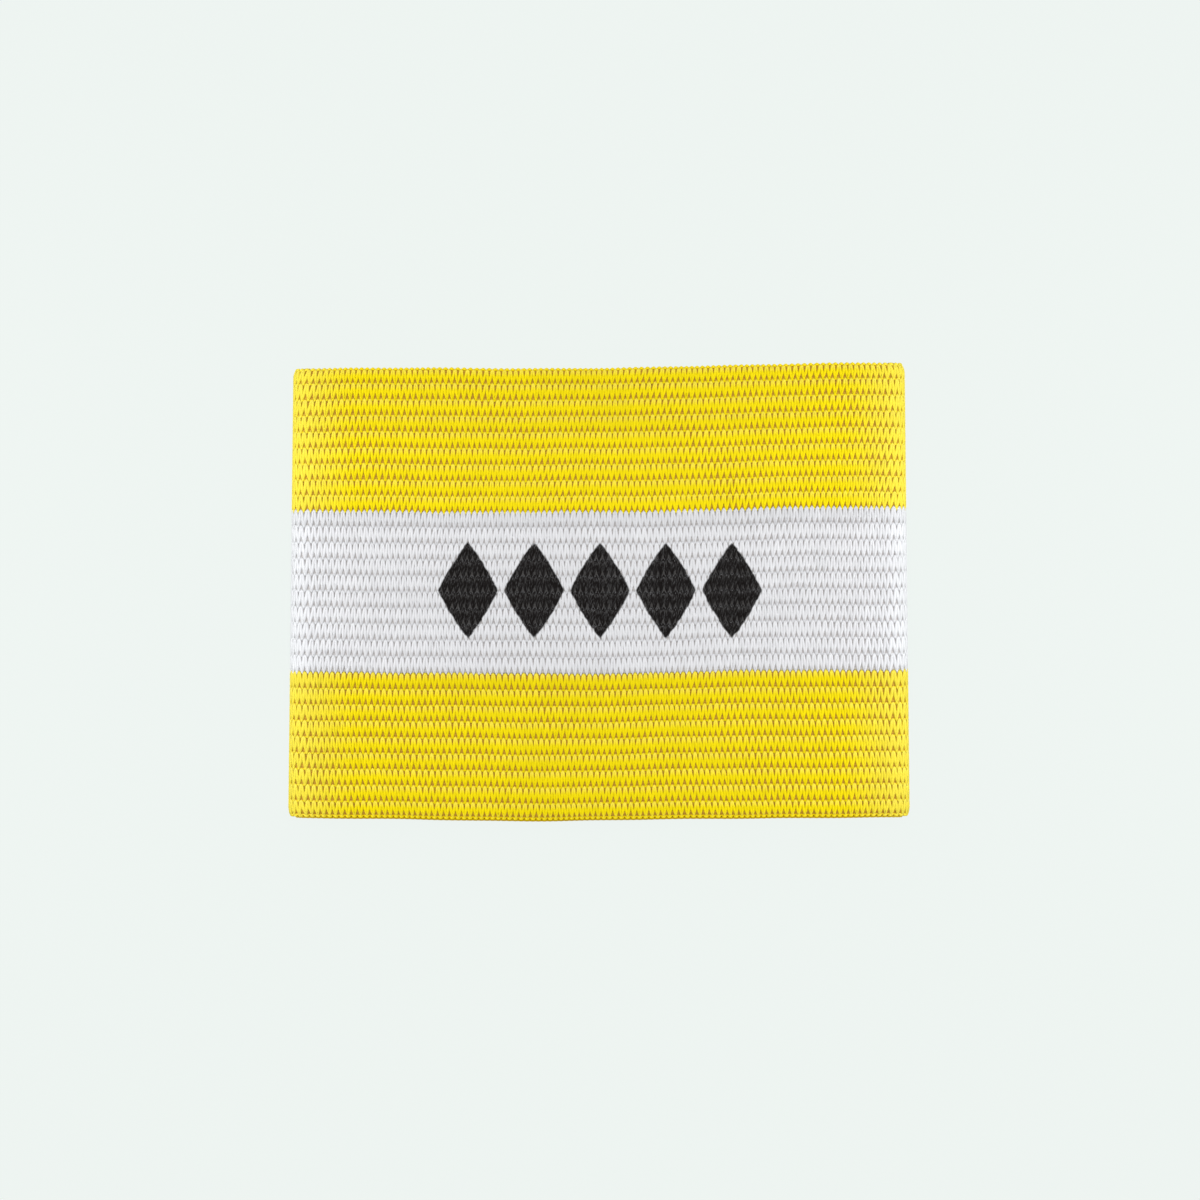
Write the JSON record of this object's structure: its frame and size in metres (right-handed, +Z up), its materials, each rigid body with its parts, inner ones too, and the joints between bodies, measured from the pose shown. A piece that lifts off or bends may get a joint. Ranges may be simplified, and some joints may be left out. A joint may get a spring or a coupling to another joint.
{
  "type": "captain armband",
  "caption": "Flat-lying loop of ribbed knitted elastic webbing with yellow outer stripes and a white centre stripe, closed by a lapped, stitched seam at the back.",
  "frame": {"origin": "on the surface that the band lies on, under the middle of its outline", "axes": "+X runs from fold to fold, +Y towards the band's upper edge, +Z up through its thickness"},
  "size_m": [0.122, 0.0892, 0.008],
  "materials": {
    "yellow_yarn": "knitted polyester over rubber, soft sheen",
    "white_yarn": "knitted polyester over rubber, soft sheen",
    "seam_thread": "spun polyester sewing thread, satin"
  },
  "bodies": {
    "root": {"upper_stripe": "yellow_yarn", "centre_stripe": "white_yarn", "lower_stripe": "yellow_yarn"}
  },
  "joints": []
}
